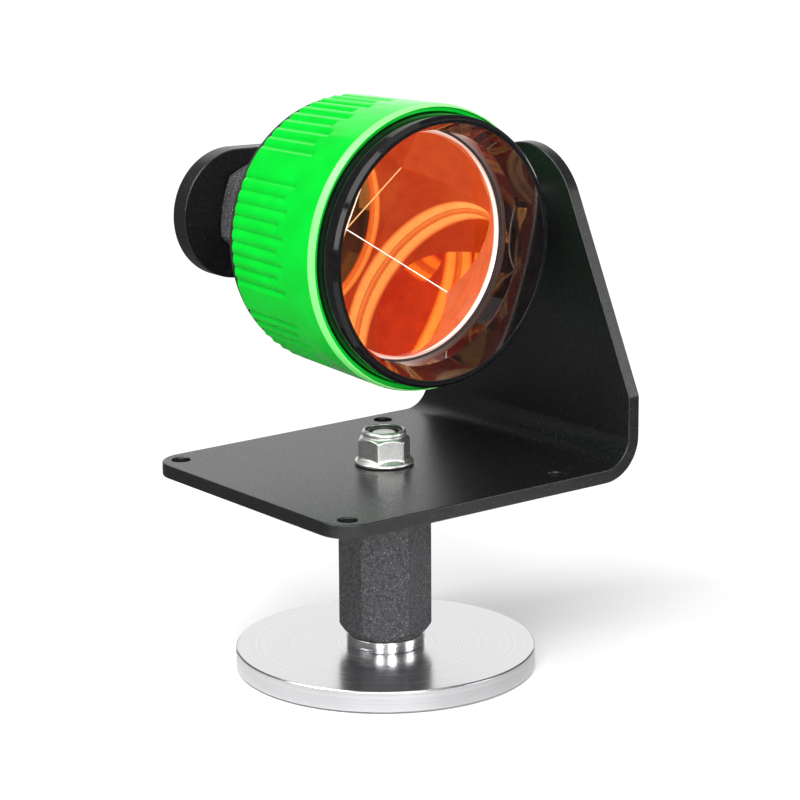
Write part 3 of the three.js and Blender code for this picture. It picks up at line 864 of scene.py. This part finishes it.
def corner_cube():
    """The glass: a polished front, a ground bevel and front band, three coppered faces that meet at
    right angles, with narrow ground bevels along their edges, and copper over the ground barrel."""
    cube = span("corner_cube", ROLL)
    radius, bevel, edge_width = 31.4, 1.1, 0.28
    # The edge, ground and coppered ground faces get finishes with a painted glow.
    glass, copper, edge, ground, coppered_ground_painted_glow = 0, 1, 2, 3, 4
    points, faces, paints = [], [], []

    def add(r, angle, along):
        spoke = X * cos(angle + HEAD_TURN) + Z * sin(angle + HEAD_TURN)
        points.append(ROLL.origin / MM + spoke * r + Y * along)
        return len(points) - 1

    def face(corners, paint):
        faces.append(corners)
        paints.append(paint)

    mirrors = [cube_face(radians(30 + 120 * k), radius, cube.end, edge_width) for k in range(3)]
    rings = [[add(*corner) for corner in mirror] for mirror in mirrors]
    rim = []
    for number, ring_points in enumerate(rings):
        following = rings[(number + 1) % 3]
        for here, there in zip(ring_points[1:], ring_points[2:]):
            face([ring_points[0], here, there], copper)
        face([ring_points[0], ring_points[-1], following[1], following[0]], edge)
        rim += [(index, mirrors[number][1 + i][1]) for i, index in enumerate(ring_points[1:])]
    face([ring_points[0] for ring_points in rings], edge)
    waist = [add(radius, angle, cube.start + BAND_DEPTH) for _, angle in rim]
    shoulder = [add(radius, angle, cube.start + bevel) for _, angle in rim]
    front = [add(radius - bevel, angle, cube.start) for _, angle in rim]
    middle = add(0, 0, cube.start)
    for i in range(len(rim)):
        j = (i + 1) % len(rim)
        face([rim[i][0], rim[j][0], waist[j], waist[i]], coppered_ground_painted_glow)
        face([waist[i], waist[j], shoulder[j], shoulder[i]], ground)
        face([shoulder[i], shoulder[j], front[j], front[i]], ground)
        face([front[i], front[j], middle], glass)
    mesh = closed_mesh("corner_cube", points, faces, paints)
    finishes = (GLASS, COPPER, GROUND_EDGE_PAINTED_GLOW, GROUND_BAND_PAINTED_GLOW, GROUND_COPPER_PAINTED_GLOW)
    piece = add_piece("corner_cube", mesh, "coppered_glass", *finishes)
    mesh.shade_flat()
    piece.modifiers.clear()


def prism_cup():
    cup = span("prism_cup", ROLL)
    apex = span("corner_cube", ROLL).end
    clear, wall, bore = 0.5, 2.1, 31.7
    shoulder, neck = 12.8, 33
    outline = [
        (0, apex + clear * sqrt(3 / 2), 0),
        (bore, apex + (clear * sqrt(3) - bore) / sqrt(2), 0.5),
        (bore, cup.start, 0.2),
        (HEAD_SPIGOT, cup.start, 0.2),
        (HEAD_SPIGOT, shoulder, 0.5),
        (neck, shoulder, 0.2),
        (neck, apex + (wall * sqrt(3) - neck) / sqrt(2), 0.5),
        (2, cup.end, 0.5),
        (0, cup.end, 0),
    ]
    add_piece("prism_cup", turned_mesh("prism_cup", outline, ROLL, HEAD_TURN), "black_matte", BLACK_MATTE)


def rear_cover():
    cover = span("rear_cover", ROLL)
    across = hexagon(30, radians(-4.5))
    flange_radius, flange_start = 36.4, 18.9
    cone_end, cone_radius, flange_end = 38.6, 18.6, 20.2
    inside, roof, pocket, pocket_floor = 33.3, 36, 8, 43
    recess, recess_floor = 7.4, 40.5

    def outline(angle):
        side = across(angle)
        cut = max(0, side - 15.6) * 0.7
        return [
            (0, recess_floor, 0),
            (recess, recess_floor, 0.3),
            (recess, roof, 0.3),
            (cone_radius - 1.1, roof, 0.5),
            (inside, flange_end - 0.7, 0.5),
            (inside, cover.start, 0.2),
            (HEAD_SPIGOT, cover.start, 0.2),
            (HEAD_SPIGOT, flange_start, 0.1),
            (flange_radius, flange_start, 0.15),
            (flange_radius, flange_end, 0.5),
            (cone_radius, cone_end, 0.8),
            (side + 0.01, cone_end, 0.3),
            (side, cover.end - 0.3 - cut, 0.4),
            (15, cover.end, 0.4),
            (pocket + 0.5, cover.end, 0.2),
            (pocket, cover.end - 0.5, 0.2),
            (pocket, pocket_floor, 0),
            (0, pocket_floor, 0),
        ]

    def paint(radius, along):
        return int(along > cone_end - 0.5 and radius > pocket)

    mesh = turned_mesh("rear_cover", outline, ROLL, HEAD_TURN, paint=paint)
    add_piece("rear_cover", mesh, "black_matte", BLACK_MATTE, SPECKLED)


# ---- Camera, light and floor ----

CAMERA_AZIMUTH, CAMERA_ELEVATION, CAMERA_ROLL = radians(-37.86), radians(14.03), radians(-0.35)
CAMERA_DISTANCE = 838.2 * MM
CAMERA_TARGET = Vector((5.63, 0, 75.03)) * MM
CAMERA_LENS = 136.73


def camera():
    flat = cos(CAMERA_ELEVATION)
    back = Vector((sin(CAMERA_AZIMUTH) * flat, -cos(CAMERA_AZIMUTH) * flat, sin(CAMERA_ELEVATION)))
    made = bpy.data.objects.new("camera", bpy.data.cameras.new("camera"))
    made.data.lens = CAMERA_LENS
    made.data.clip_end = 20
    level = back.to_track_quat("Z", "Y").to_matrix()
    turn = level @ Matrix.Rotation(CAMERA_ROLL, 3, "Z")
    made.matrix_world = Matrix.Translation(CAMERA_TARGET + back * CAMERA_DISTANCE) @ turn.to_4x4()
    bpy.context.scene.collection.objects.link(made)
    bpy.context.scene.camera = made


def glow(name, brightness):
    """A plain white emitter, very slightly uneven as cloth is."""
    made = Finish(name)
    cloth = made.mix(made.grain(200), rgb(0.96, 0.96, 0.97), rgb(1, 1, 1))
    light = made.node("Emission", {"Color": cloth, "Strength": brightness})
    made.tree.links.new(light.outputs[0], made.tree.nodes["Material Output"].inputs["Surface"])
    return made.material


def stage_piece(name, corners, faces, material):
    """A flat piece of the studio, from its corners in metres."""
    mesh = bpy.data.meshes.new(name)
    mesh.from_pydata([(x, y, 0) for x, y in corners], [], faces)
    mesh.materials.append(material)
    made = bpy.data.objects.new(name, mesh)
    bpy.context.scene.collection.objects.link(made)
    made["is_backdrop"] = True
    return made


def floor_piece(name, radius, centre, material):
    """A round piece of floor; its radius and its centre are in metres."""
    turns = [2 * pi * i / ROUND for i in range(ROUND)]
    corners = [(radius * cos(a), radius * sin(a)) for a in turns]
    made = stage_piece(name, corners, [tuple(range(ROUND))], material)
    made.location = centre
    return made


def panel(name, azimuth, elevation, distance, width, height, material, aim=0.08):
    """A flat panel that faces a point of that height on the pan axis, out of the camera's sight.
    Azimuth 0 is in front of the object, and 90 is on its right."""
    a, e = radians(azimuth), radians(elevation)
    out = Vector((sin(a) * cos(e), -cos(a) * cos(e), sin(e)))
    across, up = width / 2, height / 2
    corners = [(-across, -up), (across, -up), (across, up), (-across, up)]
    made = stage_piece(name, corners, [(0, 1, 2, 3)], material)
    turn = out.to_track_quat("Z", "Y").to_matrix().to_4x4()
    made.matrix_world = Matrix.Translation(Z * aim + out * distance) @ turn
    made.visible_camera = False
    return made


def world(seen, lit):
    """A white surround: bright where the camera looks past the floor, dimmer as a light."""
    made = bpy.data.worlds.new("studio")
    made.use_nodes = True
    tree = made.node_tree
    camera_ray = tree.nodes.new("ShaderNodeLightPath").outputs["Is Camera Ray"]
    strength = tree.nodes.new("ShaderNodeMapRange")
    tree.links.new(camera_ray, strength.inputs["Value"])
    strength.inputs["To Min"].default_value = lit
    strength.inputs["To Max"].default_value = seen
    background = tree.nodes["Background"]
    background.inputs["Color"].default_value = rgb(1, 1, 1)
    tree.links.new(strength.outputs["Result"], background.inputs["Strength"])
    return made


def studio():
    scene = bpy.context.scene
    scene.view_settings.view_transform = "Standard"
    scene.cycles.max_bounces = 24
    scene.cycles.glossy_bounces = 16
    scene.cycles.transmission_bounces = 16
    scene.world = world(seen=1.1, lit=0.18)
    panel("backdrop", 142, 0, 0.62, 0.76, 0.66, glow("backdrop", 1.2), aim=0.33)
    panel("key", -38, 46, 1.1, 0.9, 0.6, glow("key", 6))
    panel("left_strip", -54, 15, 1.1, 0.28, 0.46, glow("left_strip", 7))
    panel("right_strip", -19, 15, 1.1, 0.28, 0.46, glow("right_strip", 13))
    panel("top", 0, 82, 1.2, 0.9, 0.9, glow("top", 1.2))
    panel("fill", 38, 18, 1.2, 0.5, 0.5, glow("fill", 5))
    panel("side", -112, 52, 1.1, 0.5, 0.5, glow("side", 11))
    paper = plain_finish("paper", rgb(0.92, 0.92, 0.92), rgb(0.94, 0.94, 0.94), (0.6, 0.7), 30, 0.05)
    card = plain_finish("card", rgb(0.70, 0.70, 0.70), rgb(0.73, 0.73, 0.73), (0.6, 0.7), 30, 0.05)
    floor_piece("floor", 0.45, (0, 0, -0.0004), paper).visible_glossy = False
    # Polished surfaces see this greyer, smaller floor instead, on the camera's side of the base.
    mirrored_floor = floor_piece("mirrored_floor", 0.24, (-0.08, -0.2, -0.0002), card)
    mirrored_floor.visible_camera = False
    mirrored_floor.visible_diffuse = False
    mirrored_floor.visible_shadow = False


# ---- Assembly ----


def build():
    base_disc()
    base_collar()
    hex_pillar()
    centre_stud()
    nut_turn = radians(9)
    lock_nut("lock_nut", PAN, span("lock_nut", PAN).start, nut_turn)
    ring("lock_nut_insert", PAN, M8_BORE, 0.3, "nylon", NYLON)
    bracket()
    tilt_bolt()
    ring("tilt_washer", TILT, M8_HOLE, 0.15, "nylon", NYLON)
    lock_nut("tilt_nut", TILT, span("tilt_nut", TILT).start)
    ring("tilt_nut_insert", TILT, M8_BORE, 0.3, "nylon", NYLON)
    arm()
    ring("arm_washer", ROLL, M8_HOLE, 0.25, "stainless", STAINLESS)
    arm_bolt()
    housing()
    hood()
    corner_cube()
    ring("hood_seal", ROLL, 35.1, 0.15, "seal_rubber", RUBBER, HEAD_TURN)
    ring("glass_gasket", ROLL, 31.5, 0.3, "seal_rubber", RUBBER, HEAD_TURN)
    prism_cup()
    ring("cushion_ring", ROLL, 33.1, 0.3, "seal_rubber", RUBBER, HEAD_TURN)
    ring("rear_seal", ROLL, 35.2, 0.15, "seal_rubber", RUBBER, HEAD_TURN)
    rear_cover()
    ring("boss_insert", ROLL, M8_HOLE, 0.3, "brass", BRASS, HEAD_TURN)


build()
studio()
camera()

sizes = {"cad": cad_box, "scene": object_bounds()}
{name: [list(corner) for corner in box] for name, box in sizes.items()}
